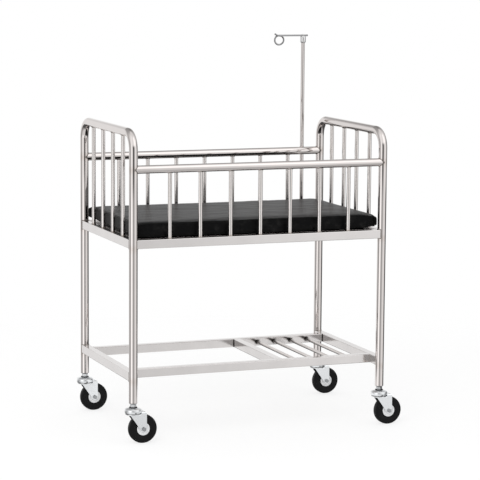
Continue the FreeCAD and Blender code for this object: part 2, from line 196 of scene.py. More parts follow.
class Shader:
    """A material with one Principled BSDF, and short calls to add and join its nodes."""

    def __init__(self, name):
        self.material = bpy.data.materials.new(name)
        self.material.use_nodes = True
        self.tree = self.material.node_tree
        self.tree.nodes.clear()
        self.output = self.tree.nodes.new("ShaderNodeOutputMaterial")
        self.surface = self.tree.nodes.new("ShaderNodeBsdfPrincipled")
        self.join(self.surface.outputs[0], self.output.inputs["Surface"])

    def join(self, source, target):
        """Join an output to an input."""
        self.tree.links.new(source, target)

    def set(self, **values):
        """Set inputs of the surface by name; a colour may leave out its alpha."""
        for name, value in values.items():
            socket = self.surface.inputs[name.replace("_", " ")]
            if hasattr(socket.default_value, "__len__") and len(value) == 3:
                value = (*value, 1)
            socket.default_value = value

    def place(self):
        """The point in the object's own coordinates."""
        return self.tree.nodes.new("ShaderNodeTexCoord").outputs["Object"]

    def effect(self, name, **inputs):
        """Place a shared effect; each input is a value or another node's output."""
        node = self.tree.nodes.new("ShaderNodeGroup")
        node.node_tree = EFFECTS[name]()
        for key, value in inputs.items():
            socket = node.inputs[key.replace("_", " ")]
            if isinstance(value, bpy.types.NodeSocket):
                self.join(value, socket)
            else:
                socket.default_value = value
        return node

    def feed(self, socket, source):
        """Join an output to an input of the surface."""
        self.join(source, self.surface.inputs[socket])


def new_effect(name, inputs, outputs):
    """A node group with named sockets, what it is given and its output node."""
    tree = bpy.data.node_groups.new(name, "ShaderNodeTree")
    for label, kind, default in inputs:
        socket = tree.interface.new_socket(name=label, in_out="INPUT", socket_type="NodeSocket" + kind)
        if default is not None:
            socket.default_value = default
    for label, kind in outputs:
        tree.interface.new_socket(name=label, in_out="OUTPUT", socket_type="NodeSocket" + kind)
    return tree, tree.nodes.new("NodeGroupInput").outputs, tree.nodes.new("NodeGroupOutput")


def closed_effect(tree, result, **outputs):
    """Join what a node group puts out to its output node."""
    for name, source in outputs.items():
        tree.links.new(source, result.inputs[name])
    return tree


def node(tree, kind, settings=(), **inputs):
    """Add a node, set its options, and set or join its inputs by name or index."""
    made = tree.nodes.new("ShaderNode" + kind)
    for key, value in dict(settings).items():
        setattr(made, key, value)
    for key, value in inputs.items():
        socket = made.inputs[int(key[1:])] if key[0] == "i" and key[1:].isdigit() else made.inputs[key]
        if isinstance(value, bpy.types.NodeSocket):
            tree.links.new(value, socket)
        else:
            socket.default_value = value
    return made


def calc(tree, operation, *terms, **options):
    """The output of a Math node; each term is a value or another node's output."""
    inputs = {"i" + str(index): term for index, term in enumerate(terms)}
    return node(tree, "Math", {"operation": operation, **options}, **inputs).outputs[0]


def vector(tree, operation, *terms):
    """A VectorMath node of one or two terms."""
    inputs = {"i" + str(index): term for index, term in enumerate(terms)}
    return node(tree, "VectorMath", {"operation": operation}, **inputs)


def mapped(tree, value, low, high, start=0.0, end=1.0, kind="SMOOTHSTEP"):
    """A value carried from one range over to another, eased at both ends unless the kind is LINEAR."""
    return node(tree, "MapRange", {"interpolation_type": kind}, i0=value, i1=low, i2=high, i3=start,
                i4=end).outputs[0]


def mix(tree, factor, first, second, **options):
    """The output of a Mix node between two numbers."""
    return node(tree, "Mix", {"data_type": "FLOAT", **options}, i0=factor, i2=first, i3=second).outputs[0]


def mix_color(tree, factor, first, second, **options):
    """The output of a Mix node between two colours."""
    return node(tree, "Mix", {"data_type": "RGBA", **options}, i0=factor, i6=first, i7=second).outputs[2]


def bumped(tree, height, depth):
    """The normal of a bump with its depth in millimetres."""
    distance = calc(tree, "MULTIPLY", depth, MM)
    return node(tree, "Bump", Strength=1.0, Height=height, Distance=distance).outputs[0]


def seen_directly(tree, path):
    """1 for the rays of the camera, of mirrors and of glass."""
    seen = calc(tree, "MAXIMUM", path.outputs["Is Camera Ray"], path.outputs["Is Glossy Ray"])
    return calc(tree, "MAXIMUM", seen, path.outputs["Is Transmission Ray"])


def once(build):
    """Build a shared node group the first time it is asked for."""
    made = []

    def get():
        """The node group, built by now."""
        if not made:
            made.append(build())
        return made[0]
    return get


@once
def polish_lines():
    """Fine grinding lines: noise squeezed by its own scale along each axis."""
    tree, given, result = new_effect("Polish lines", [
        ("Vector", "Vector", None), ("Scale", "Vector", (60.0, 60.0, 900.0)), ("Depth", "Float", 0.02),
        ("Color", "Color", (0.7, 0.7, 0.7, 1)), ("Roughness", "Float", 0.1), ("Spread", "Float", 0.3)],
        [("Color", "Color"), ("Roughness", "Float"), ("Normal", "Vector")])
    place = vector(tree, "MULTIPLY", given["Vector"], given["Scale"]).outputs[0]
    lines = node(tree, "TexNoise", i0=place, Scale=1.0, Detail=4.0, Roughness=0.65).outputs[0]
    smudge = node(tree, "TexNoise", i0=given["Vector"], Scale=14.0, Detail=5.0, Roughness=0.6).outputs[0]
    both = calc(tree, "MULTIPLY_ADD", lines, 0.6, smudge)
    change = calc(tree, "MULTIPLY", calc(tree, "SUBTRACT", both, 0.8), given["Spread"])
    rough = calc(tree, "MULTIPLY", calc(tree, "ADD", change, 1.0), given["Roughness"], use_clamp=True)
    tint = calc(tree, "MULTIPLY_ADD", change, -0.25, 1.0)
    color = node(tree, "VectorMath", {"operation": "SCALE"}, i0=given["Color"], Scale=tint).outputs[0]
    return closed_effect(tree, result, Color=color, Roughness=rough,
                         Normal=bumped(tree, lines, given["Depth"]))


@once
def heat_tint():
    """A tint that fades with the distance from a point, used for heat stains near welds and for painted shade
    in hollows; the stretch weighs each axis of it.
    """
    tree, given, result = new_effect("Heat tint and shade", [
        ("Vector", "Vector", None), ("Point", "Vector", (0.0, 0.0, 0.0)),
        ("Stretch", "Vector", (0.0, 0.0, 1.0)), ("Reach", "Float", 0.02), ("Amount", "Float", 0.3),
        ("Tint color", "Color", STRAW), ("Color", "Color", (0.7, 0.7, 0.7, 1))], [("Color", "Color")])
    wander = node(tree, "TexNoise", i0=given["Vector"], Scale=90.0, Detail=3.0).outputs[0]
    away = vector(tree, "SUBTRACT", given["Vector"], given["Point"]).outputs[0]
    weighed = vector(tree, "MULTIPLY", away, given["Stretch"]).outputs[0]
    apart = vector(tree, "LENGTH", weighed).outputs["Value"]
    uneven = calc(tree, "ADD", calc(tree, "DIVIDE", apart, given["Reach"]), wander)
    near = mapped(tree, uneven, 0.55, 1.5, 1.0, 0.0)
    amount = calc(tree, "MULTIPLY", near, given["Amount"])
    stained = mix_color(tree, amount, given["Color"], given["Tint color"], blend_type="MULTIPLY")
    return closed_effect(tree, result, Color=stained)


@once
def dust():
    """Pale dust that gathers in soft patches; it lightens a colour and dulls a gloss."""
    tree, given, result = new_effect("Dust", [
        ("Vector", "Vector", None), ("Amount", "Float", 0.2), ("Color", "Color", (0.05, 0.05, 0.05, 1)),
        ("Dust color", "Color", (0.35, 0.34, 0.32, 1)), ("Roughness", "Float", 0.5)],
        [("Color", "Color"), ("Roughness", "Float")])
    patches = node(tree, "TexNoise", i0=given["Vector"], Scale=28.0, Detail=6.0, Roughness=0.7).outputs[0]
    amount = calc(tree, "MULTIPLY", mapped(tree, patches, 0.45, 0.8), given["Amount"])
    return closed_effect(tree, result, Color=mix_color(tree, amount, given["Color"], given["Dust color"]),
                         Roughness=mix(tree, amount, given["Roughness"], 0.9))


@once
def moulded_grain():
    """The fine pebbled skin of moulded rubber, plastic or a coated cloth."""
    tree, given, result = new_effect("Moulded grain", [
        ("Vector", "Vector", None), ("Scale", "Float", 900.0), ("Depth", "Float", 0.05)],
        [("Height", "Float"), ("Normal", "Vector")])
    height = node(tree, "TexVoronoi", {"feature": "SMOOTH_F1"}, i0=given["Vector"],
                  Scale=given["Scale"]).outputs["Distance"]
    return closed_effect(tree, result, Height=height, Normal=bumped(tree, height, given["Depth"]))


EFFECTS = {"polish lines": polish_lines, "heat tint and shade": heat_tint, "dust": dust, "moulded grain": moulded_grain}


# ---- finishes ----

def steel_finish(name, color, roughness, scale, depth=0.006, spread=0.5, tints=()):
    """Stainless steel with grinding lines across the scale's largest axis, stains near its welds, and the
    painted shade given to the plated cups and cap.
    """
    shader = Shader(name)
    shader.set(Metallic=1.0)
    place = shader.place()
    lines = shader.effect("polish lines", Vector=place, Scale=scale, Depth=depth, Color=(*color, 1),
                          Roughness=roughness, Spread=spread)
    painted = lines.outputs["Color"]
    for tint in tints:
        painted = shader.effect("heat tint and shade", Vector=place, Color=painted, **tint).outputs["Color"]
    shader.feed("Base Color", painted)
    shader.feed("Roughness", lines.outputs["Roughness"])
    shader.feed("Normal", lines.outputs["Normal"])
    return shader.material


def tint_at(point, reach, amount, stretch=(1, 1, 1), stain=STRAW):
    """The inputs of one tint round a point; it serves heat stains and painted shade alike."""
    return {"Point": point, "Reach": reach, "Amount": amount, "Stretch": stretch, "Tint color": stain}


def band_at(height, reach, amount, **more):
    """The inputs of a tint that goes round the whole piece at one height."""
    return tint_at((0, 0, height), reach, amount, stretch=(0, 0, 1), **more)


def plated_finish(name, color, roughness, tints=()):
    """Bright zinc or chrome plate with faint clouding."""
    return steel_finish(name, color, roughness, (90.0, 90.0, 90.0), depth=0.002, spread=0.2, tints=tints)


def moulded_finish(name, color, roughness, grain, depth, dusty, specular):
    """Moulded rubber or plastic: a pebbled skin, so many grains to the metre, with some dust."""
    shader = Shader(name)
    shader.set(Specular_IOR_Level=specular)
    place = shader.place()
    skin = shader.effect("moulded grain", Vector=place, Scale=grain, Depth=depth)
    dirt = shader.effect("dust", Vector=place, Amount=dusty, Color=(*color, 1), Roughness=roughness)
    shader.feed("Base Color", dirt.outputs["Color"])
    shader.feed("Roughness", dirt.outputs["Roughness"])
    shader.feed("Normal", skin.outputs["Normal"])
    return shader.material


def weld_finish(name, color, stain, amount):
    """Bare weld metal with a fine grain, browned in patches."""
    shader = Shader(name)
    shader.set(Metallic=1.0)
    tree, place = shader.tree, shader.place()
    patches = node(tree, "TexNoise", i0=place, Scale=60.0, Detail=5.0, Roughness=0.7).outputs[0]
    browned = mapped(tree, patches, 0.3, 0.7, amount * 0.5, amount, "LINEAR")
    tint = mix_color(tree, browned, (*color, 1), (*stain, 1))
    rough = mapped(tree, patches, 0.2, 0.8, 0.3, 0.6, "LINEAR")
    grain = shader.effect("moulded grain", Vector=place, Scale=1100.0, Depth=0.2)
    shader.feed("Base Color", tint)
    shader.feed("Roughness", rough)
    shader.feed("Normal", grain.outputs["Normal"])
    return shader.material


def dress_node(name, material):
    """Give a CAD node its material."""
    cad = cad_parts[name]
    for slot in cad.material_slots:
        slot.material = material


# ---- mesh helpers ----

def placed(name, data):
    """An object of this data, put into the scene."""
    made = bpy.data.objects.new(name, data)
    bpy.context.scene.collection.objects.link(made)
    return made


def mesh_from(name, bm):
    """A mesh of what was modelled."""
    mesh = bpy.data.meshes.new(name)
    bm.to_mesh(mesh)
    bm.free()
    return mesh


def evaluated(thing):
    """The object as its modifiers leave it."""
    return thing.evaluated_get(bpy.context.evaluated_depsgraph_get())


def rounded(bm, geom, radius, segments, affect="EDGES"):
    """Round edges or corners of what is modelled."""
    bmesh.ops.bevel(bm, geom=geom, offset=radius, segments=segments, affect=affect, profile=0.5, material=-1)


def finished(name, bm, material, body, crease=180):
    """Close a mesh into a piece of the cot that rides on a body, smooth up to the crease in degrees."""
    bmesh.ops.remove_doubles(bm, verts=bm.verts, dist=1e-6)
    bmesh.ops.recalc_face_normals(bm, faces=bm.faces)
    mesh = mesh_from(name, bm)
    for face in mesh.polygons:
        face.use_smooth = True
    mesh.set_sharp_from_angle(angle=math.radians(crease))
    mesh.materials.append(material)
    piece = placed(name, mesh)
    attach(piece, body)
    return piece


def stood(centre, axis):
    """A matrix that stands +Z along the axis at the centre."""
    return Matrix.Translation(centre) @ Vector(axis).to_track_quat("Z", "Y").to_matrix().to_4x4()


def laid(centre, along, away):
    """A matrix with +X along one direction and +Z along another, square to it."""
    x, z = Vector(along).normalized(), Vector(away).normalized()
    return Matrix.Translation(centre) @ Matrix((x, z.cross(x), z)).transposed().to_4x4()


def spun(bm, profile, steps, closed=True, turn=2 * math.pi):
    """Spin a profile of (radius, height) points about +Z and give the vertices made."""
    before = set(bm.verts)
    verts = [bm.verts.new((r, 0, h)) for r, h in profile]
    pairs = list(zip(verts, verts[1:])) + ([(verts[-1], verts[0])] if closed else [])
    edges = [bm.edges.new(pair) for pair in pairs]
    full = math.isclose(turn, 2 * math.pi)
    bmesh.ops.spin(bm, geom=verts + edges, cent=(0, 0, 0), axis=(0, 0, 1), angle=turn, steps=steps,
                   use_merge=full, use_normal_flip=False, use_duplicate=False)
    return [v for v in bm.verts if v not in before]


def bead_outline(radius, size):
    """A convex bead in the corner between a bar of this radius and a face, a little sunk in both."""
    root = 0.4 * MM
    arc = [math.radians(a) for a in (-12, 10, 32, 58, 80, 102)]
    return [(radius - root, -root)] + [(radius + size * math.cos(a), size * math.sin(a)) for a in arc]


def ring_bead(bm, place, radius, size, tube_r=None, ripples=22):
    """A rippled bead round a bar. Its place has +Z along the bar, away from what the bar meets:
    a flat face, or a tube that runs along +X."""
    made = spun(bm, bead_outline(radius, size), 32)
    for vert in made:
        angle = math.atan2(vert.co.y, vert.co.x)
        wave = 1 + 0.05 * math.sin(ripples * angle)
        reach = math.hypot(vert.co.x, vert.co.y)
        grown = radius + (reach - radius) * wave
        vert.co.x *= grown / reach
        vert.co.y *= grown / reach
        if tube_r:
            vert.co.z += math.sqrt(max(tube_r ** 2 - vert.co.y ** 2, 0.0))
    bmesh.ops.transform(bm, matrix=place, verts=made)


def arc_bead(bm, centre, away, radius, size, start, turn):
    """A bead round part of a post, on a flat face that looks up or down."""
    made = spun(bm, bead_outline(radius, size), max(6, round(turn / math.radians(9))), turn=turn)
    bmesh.ops.rotate(bm, verts=made, cent=(0, 0, 0), matrix=Matrix.Rotation(start, 3, "Z"))
    if away < 0:
        bmesh.ops.scale(bm, verts=made, vec=(1, 1, -1))
    bmesh.ops.translate(bm, verts=made, vec=centre)


def upright_bead(bm, x, y, low, high, size):
    """A straight rippled bead with round ends, up a corner."""
    pitch, steps, hollow = 1.6 * MM, 12, 0.88
    start = Vector((x, y, low))
    run = Vector((x, y, high)) - start
    count = max(6, round(run.length / pitch))
    profile = [(0, 0)]
    for i in range(1, count):
        share = i / count
        round_end = min(1.0, math.sqrt(1 - (2 * share - 1) ** 8))
        ripple = 1.0 if i % 2 else hollow
        profile.append((size * round_end * ripple, share * run.length))
    profile.append((0, run.length))
    made = spun(bm, profile, steps, closed=False)
    bmesh.ops.transform(bm, matrix=stood(start, run), verts=made)


def turned(name, outline, place, steps, material, body, replaced, closed=True, crease=180):
    """Spin an outline of (radius, height) points about the Z of its place, instead of a CAD node."""
    bm = bmesh.new()
    bmesh.ops.transform(bm, matrix=place, verts=spun(bm, outline, steps, closed=closed))
    piece = finished(name, bm, material, body, crease)
    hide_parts(replaced)


def from_edge(points, radius, height=None):
    """Outline points given in millimetres in from a radius and up, or down from a height."""
    if height is None:
        return [(radius - r * MM, h * MM) for r, h in points]
    return [(radius - r * MM, height - h * MM) for r, h in points]


# ---- operators ----

class COT_OT_weld_bars(bpy.types.Operator):
    """Lays a bead round both ends of every upright bar"""
    bl_idname = "cot.weld_bars"
    bl_label = "Weld Bars"

    def execute(self, context):
        steel = context.scene.cot_steel
        size = steel.weld_size * 0.8
        bm = bmesh.new()
        for x, inward, top in ENDS:
            for y in END_BAR_YS:
                ring_bead(bm, laid((x, y, DECK_TOP), (0, 1, 0), (0, 0, 1)), BAR_R, size)
                ring_bead(bm, laid((x, y, top), (0, 1, 0), (0, 0, -1)), BAR_R, size, POST_R)
        for y, inward, rail in SIDES:
            for x in SIDE_BAR_XS:
                ring_bead(bm, laid((x, y, DECK_TOP), (1, 0, 0), (0, 0, 1)), BAR_R, size)
                ring_bead(bm, laid((x, y, rail), (1, 0, 0), (0, 0, -1)), BAR_R, size, RAIL_R)
        metal = weld_finish("cot_bar_weld", steel.weld_color, stain=(0.10, 0.07, 0.05), amount=0.75)
        finished("bar_welds", bm, metal, "frame")
        return {"FINISHED"}


class COT_OT_weld_rails(bpy.types.Operator):
    """Lays a bead where each side rail meets its posts, and at the mounts of the drip pole"""
    bl_idname = "cot.weld_rails"
    bl_label = "Weld Rails"

    def execute(self, context):
        steel = context.scene.cot_steel
        size = steel.weld_size
        bm = bmesh.new()
        for y, across, rail in SIDES:
            for x, inward, top in ENDS:
                place = laid((x, y, rail), (0, 0, 1), (inward, 0, 0))
                ring_bead(bm, place, RAIL_R, size * 0.7, POST_R, ripples=40)
        guide, cup = middle("pole_guide"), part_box("pole_foot_cup")
        guide_reach, guide_gap, guide_half = 8 * MM, 1.4 * MM, 6 * MM
        cup_reach, cup_gap, cup_end = 5.5 * MM, 0.5 * MM, 2 * MM
        for side in (-1, 1):
            upright_bead(bm, guide.x + side * guide_reach, BACK_Y + RAIL_R + guide_gap,
                         guide.z - guide_half, guide.z + guide_half, size)
            upright_bead(bm, guide.x + side * cup_reach, BACK_Y + DECK_HALF + cup_gap,
                         cup[0].z + cup_end, cup[1].z - cup_end, size)
        metal = weld_finish("cot_rail_weld", steel.weld_color, stain=(0.08, 0.06, 0.05), amount=0.85)
        finished("rail_welds", bm, metal, "frame")
        return {"FINISHED"}


class COT_OT_weld_beams(bpy.types.Operator):
    """Lays the beads of the deck frame and of the shelf frame"""
    bl_idname = "cot.weld_beams"
    bl_label = "Weld Beams"

    def execute(self, context):
        steel = context.scene.cot_steel
        size = steel.weld_size
        metal = weld_finish("cot_beam_weld", steel.weld_color, stain=(0.10, 0.07, 0.05), amount=0.7)
        light = weld_finish("cot_shelf_weld", steel.weld_color, stain=(0.12, 0.09, 0.07), amount=0.4)
        # near-black weld metal: burnt on the shelf rods' welds, and painted shade on the beads in the corners
        # at the back beam's inner face
        dark_weld = weld_finish("cot_burnt_weld_and_corner_shade", (0.05, 0.042, 0.037), stain=(0.012, 0.009, 0.008), amount=0.9)
        deck, shelf, shaded_corner_beads, rods = bmesh.new(), bmesh.new(), bmesh.new(), bmesh.new()
        for x, inward, top in ENDS:
            for y, across, rail in SIDES:
                self.deck_corner(deck, x, y, inward, across, size)
                self.shelf_post(shelf, x, y, across, size * 0.7)
        for name in ("shelf_front_beam", "shelf_back_beam", "shelf_cross_beam"):
            self.shelf_butts(name, shelf, shaded_corner_beads, size)
        for x in ROD_XS:
            for y, across in zip(SHELF_INNER, (1, -1)):
                ring_bead(rods, laid((x, y, ROD_Z), (1, 0, 0), (0, across, 0)), ROD_R, size)
        finished("deck_beam_welds", deck, metal, "frame")
        finished("shelf_beam_welds", shelf, light, "frame")
        finished("shelf_shaded_corner_welds", shaded_corner_beads, dark_weld, "frame")
        finished("shelf_rod_welds", rods, dark_weld, "frame")
        return {"FINISHED"}

    def deck_corner(self, bm, x, y, inward, across, size):
        """Beads above and below the two beams that meet at a post, and down their outer sides."""
        spread = math.asin(DECK_HALF / POST_R)
        start = math.atan2(across, inward) - math.pi / 4 - spread
        for z, away in ((DECK_TOP, 1), (DECK_LOW, -1)):
            arc_bead(bm, (x, y, z), away, POST_R, size, start, math.pi / 2 + 2 * spread)
        reach = math.sqrt(POST_R ** 2 - DECK_HALF ** 2)
        for dx, dy in ((inward * reach, -across * DECK_HALF), (-inward * DECK_HALF, across * reach)):
            upright_bead(bm, x + dx, y + dy, DECK_LOW, DECK_TOP, size * 0.8)

    def shelf_post(self, bm, x, y, across, size):
        """Beads above and below the shelf's end beam at a post, and down both its sides."""
        spread = math.asin(SHELF_HALF / POST_R)
        for z, away in ((SHELF_TOP, 1), (SHELF_LOW, -1)):
            arc_bead(bm, (x, y, z), away, POST_R, size, across * math.pi / 2 - spread, 2 * spread)
        reach = math.sqrt(POST_R ** 2 - SHELF_HALF ** 2)
        for side in (-1, 1):
            upright_bead(bm, x + side * SHELF_HALF, y + across * reach, SHELF_LOW, SHELF_TOP, size * 0.8)

    def shelf_butts(self, name, clean, dark_weld, size):
        """Upright beads in the corners where a beam butts; those in the corners at the back beam's inner face
        are larger and near-black, a painted shade for the deep corners there.
        """
        low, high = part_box(name)
        for x in (low.x, high.x):
            for y in (low.y, high.y):
                # the corners at the back beam's inner face get larger beads in the near-black painted-shade
                # weld
                bm, growth = (dark_weld, 1.25) if abs(y - SHELF_INNER[1]) < MM else (clean, 0.6)
                upright_bead(bm, x, y, SHELF_LOW, SHELF_TOP, size * growth)


class COT_OT_mould_wheels(bpy.types.Operator):
    """Moulds the rubber tyres and the plastic hubs of the casters"""
    bl_idname = "cot.mould_wheels"
    bl_label = "Mould Wheels"

    def execute(self, context):
        caster = context.scene.cot_caster
        rubber = moulded_finish("cot_tyre_rubber", caster.tyre_color, roughness=0.45, grain=1400.0,
                                depth=0.05, dusty=0.02, specular=0.15)
        plastic = moulded_finish("cot_hub_plastic", caster.hub_color, roughness=0.42, grain=1800.0,
                                 depth=0.02, dusty=0.12, specular=0.4)
        for corner in CORNERS:
            tyre, hub = span(corner + "_tyre") / 2, span(corner + "_wheel_hub") / 2
            place = stood(middle(corner + "_tyre"), (0, 1, 0))
            pieces = (("tyre", "_tyre", rubber, self.tyre_outline(tyre.z, tyre.y, hub.z)),
                      ("hub", "_wheel_hub", plastic, self.hub_outline(hub.z, tyre.y, hub.y)))
            for part, node_end, material, half in pieces:
                outline = half + [(r, -h) for r, h in reversed(half) if h > 0]
                turned(corner + "_moulded_" + part, outline, place, 72, material, corner + "_wheel",
                       corner + node_end)
        return {"FINISHED"}

    def tyre_outline(self, radius, half, hub_r):
        """From the bore out over the sidewall, its moulded ring and the rounded shoulder."""
        side = [(0.0, 1.4), (0.7, 0.4), (2.0, 0.0), (3.0, 0.0), (3.5, 0.5), (4.3, 0.5), (4.8, 0.0)]
        shoulder = [(7.0, 0.0), (4.4, 0.3), (2.3, 1.4), (0.8, 3.3), (0.15, 5.8), (0.0, 9.0)]
        return ([(hub_r + r * MM, half - h * MM) for r, h in side]
                + from_edge(shoulder, radius, half) + [(radius, 0.0)])

    def hub_outline(self, hub_r, half, boss_half):
        """From the bore over the bearing boss and the dished face to the rolled rim."""
        bore, boss_r = 6.06 * MM, 9.0 * MM
        face = [(10.2, 0.6), (11.5, 0.3), (17.0, 0.5), (18.2, 1.2), (20.9, 1.2), (21.9, 0.8)]
        return ([(bore, boss_half), (boss_r - 0.5 * MM, boss_half), (boss_r, boss_half - 0.5 * MM),
                 (boss_r, half + 1.0 * MM)]
                + [(r * MM, half + h * MM) for r, h in face]
                + [(hub_r, half - 0.2 * MM), (hub_r, half - 1.4 * MM)])


class COT_OT_turn_cups(bpy.types.Operator):
    """Turns the casters' pressed bearing cups and the cap that carries the drip hook"""
    bl_idname = "cot.turn_cups"
    bl_label = "Turn Cups"

    def execute(self, context):
        caster = context.scene.cot_caster
        cups = [corner + "_bearing_cup" for corner in CORNERS]
        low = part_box(cups[0])[0].z
        # painted shade round the foot of each cup, where it sits on the fork's crown, and a dark spot low on
        # the front of each cup
        painted_foot_shade_and_front_spot = [band_at(low, 4.2 * MM, 1.0, stain=SOOT_AND_SHADE)]
        for name in cups:
            front = Vector((middle(name).x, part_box(name)[0].y, low + 5 * MM))
            painted_foot_shade_and_front_spot.append(tint_at(front, 5 * MM, 0.95, stain=SOOT_AND_SHADE))
        plate = plated_finish("cot_cup_plate", caster.zinc_color, 0.30, tints=painted_foot_shade_and_front_spot)
        for corner, name in zip(CORNERS, cups):
            outline = self.cup_outline(span(name).x / 2, span(name).z)
            turned(corner + "_turned_cup", outline, self.foot_of(name), 64, plate, corner + "_swivel",
                   name, crease=32)
        low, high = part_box("hook_cap")
        # painted shade in the narrow neck under the cap's crowned top, and in a ring round its foot where it
        # meets the pole
        painted_neck_and_foot_shade = [band_at(high.z - 5 * MM, 2 * MM, 0.7, stain=SOOT_AND_SHADE),
                   band_at(low.z, 2.2 * MM, 0.7, stain=SOOT_AND_SHADE)]
        chrome = plated_finish("cot_cap_chrome", (0.84, 0.84, 0.84), 0.30, tints=painted_neck_and_foot_shade)
        turned("hook_turned_cap", self.cap_outline((high.x - low.x) / 2, high.z - low.z),
               self.foot_of("hook_cap"), 64, chrome, "drip_hook_head", "hook_cap", closed=False,
               crease=32)
        return {"FINISHED"}

    def foot_of(self, name):
        """A matrix that stands at the middle of a node's foot."""
        at = middle(name)
        at.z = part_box(name)[0].z
        return Matrix.Translation(at)

    def cup_outline(self, radius, height):
        """Up the recessed race and the outer wall, over the rolled shoulder and the cone to the neck,
        and down the inside."""
        foot = [(1.8, 0.0), (1.8, 3.4), (1.2, 4.0), (0.3, 4.4), (0.0, 5.4)]
        shoulder = [(0.0, 7.7), (0.25, 6.4), (1.0, 5.3), (2.2, 4.6)]
        neck, bore, wall = 14.0 * MM, 6.06 * MM, 2.5 * MM
        roof = height - 9.5 * MM
        return (from_edge(foot, radius) + from_edge(shoulder, radius, height)
                + [(neck + 0.6 * MM, height - 0.2 * MM), (neck, height), (bore, height), (bore, roof),
                   (radius - wall, roof), (radius - wall, 0.0)])

    def cap_outline(self, radius, height):
        """From the blind bore's roof down its wall, out round the skirt and up to the crowned neck."""
        bore, foot, roof = 7.06 * MM, 2.5 * MM, 24.3 * MM
        skirt = [(2.5, 2.5), (1.3, 4.0), (0.3, 6.0), (0.0, 8.0), (0.0, 24.0), (0.3, 25.5), (1.3, 26.8),
                 (3.1, 27.6)]
        neck = [(4.1, 6.5), (4.5, 5.9), (4.3, 3.5), (4.9, 1.3), (6.5, 0.3)]
        return ([(0.0, roof), (bore, roof), (bore, foot)] + from_edge(skirt, radius)
                + from_edge(neck, radius, height) + [(0.0, height)])


